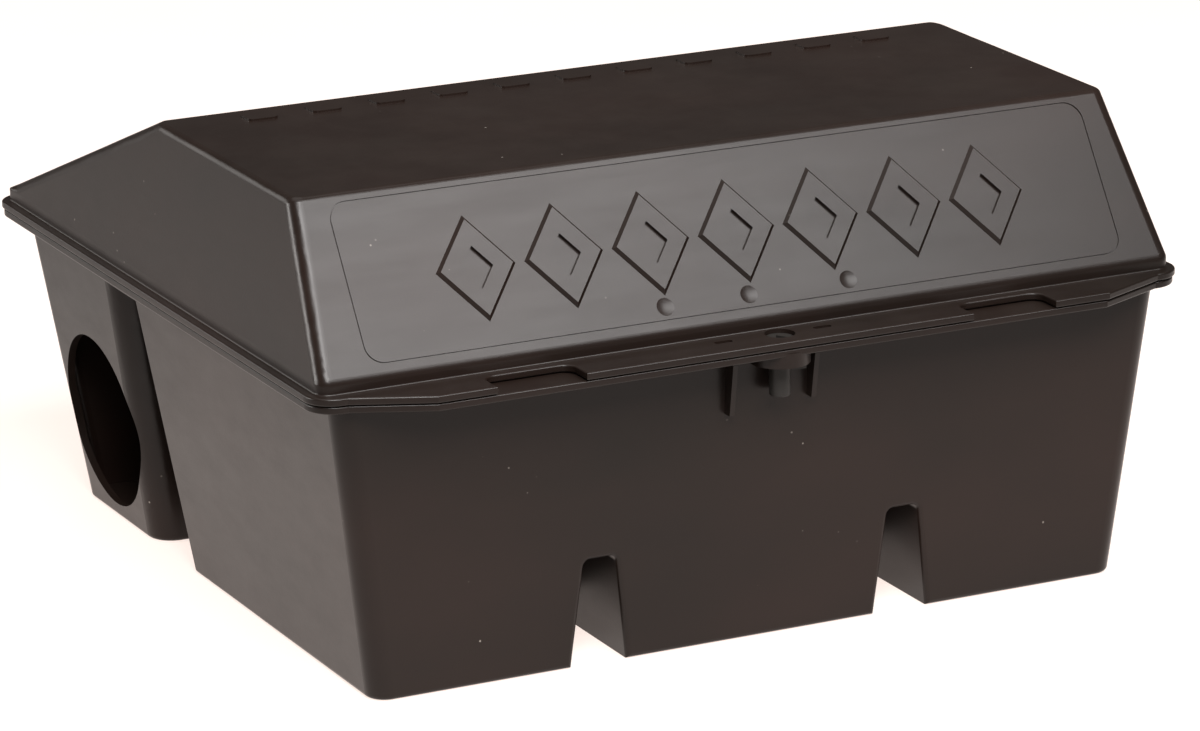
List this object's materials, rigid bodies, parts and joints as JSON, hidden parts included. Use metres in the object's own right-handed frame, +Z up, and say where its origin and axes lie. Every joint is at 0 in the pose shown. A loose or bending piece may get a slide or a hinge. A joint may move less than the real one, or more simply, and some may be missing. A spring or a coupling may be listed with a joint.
{
  "type": "rodent bait station",
  "caption": "Lockable moulded rodent bait station with a hinged mansard lid, round end entries, bait rods with wax blocks and lift-out bait trays.",
  "frame": {"origin": "on the ground, midway between the ends and midway between the front lip and the back of the hinge knuckles", "axes": "+X along the length to the right end, +Y from the lock to the hinges, +Z up"},
  "size_m": [0.29, 0.2764, 0.1473],
  "materials": {
    "shell": "satin injection-moulded black-brown polypropylene",
    "lock": "satin glass-filled nylon",
    "spring_steel": "oiled spring steel",
    "steel": "drawn bright zinc-plated steel",
    "stop": "moulded rubber",
    "bait": "pressed wax with grain",
    "liner": "thin moulded polypropylene"
  },
  "bodies": {
    "root": {"base_tray": "shell", "hinge_pin_left": "steel", "hinge_pin_right": "steel"},
    "lid": {"lid_shell": "shell"},
    "lock": {"lock_plug": "lock", "lock_clip": "spring_steel"},
    "rod_front": {"bait_rod_front": "steel", "rod_stops_front": "stop", "bait_block_front_1": "bait", "bait_block_front_2": "bait", "bait_block_front_3": "bait", "bait_block_front_4": "bait", "bait_block_front_5": "bait"},
    "rod_rear": {"bait_rod_rear": "steel", "rod_stops_rear": "stop", "bait_block_rear_1": "bait", "bait_block_rear_2": "bait", "bait_block_rear_3": "bait", "bait_block_rear_4": "bait", "bait_block_rear_5": "bait"},
    "tray_left": {"bait_tray_left": "liner"},
    "tray_right": {"bait_tray_right": "liner"}
  },
  "joints": [
    {"name": "lid_hinge", "type": "hinge", "parent": "root", "child": "lid", "pos_m": [0, 0.134, 0.09395], "axis": [-1, 0, 0], "range_deg": [0, 105]},
    {"name": "lock_turn", "type": "hinge", "parent": "lid", "child": "lock", "pos_m": [0.0036, -0.129, 0.094], "axis": [0, 0, -1], "range_deg": [0, 90]},
    {"name": "rod_front_lift", "type": "slide", "parent": "root", "child": "rod_front", "axis": [0, 0, 1], "range_m": [0, 0.04]},
    {"name": "rod_rear_lift", "type": "slide", "parent": "root", "child": "rod_rear", "axis": [0, 0, 1], "range_m": [0, 0.04]},
    {"name": "tray_left_lift", "type": "slide", "parent": "root", "child": "tray_left", "axis": [0, 0, 1], "range_m": [0, 0.02]},
    {"name": "tray_right_lift", "type": "slide", "parent": "root", "child": "tray_right", "axis": [0, 0, 1], "range_m": [0, 0.02]}
  ]
}
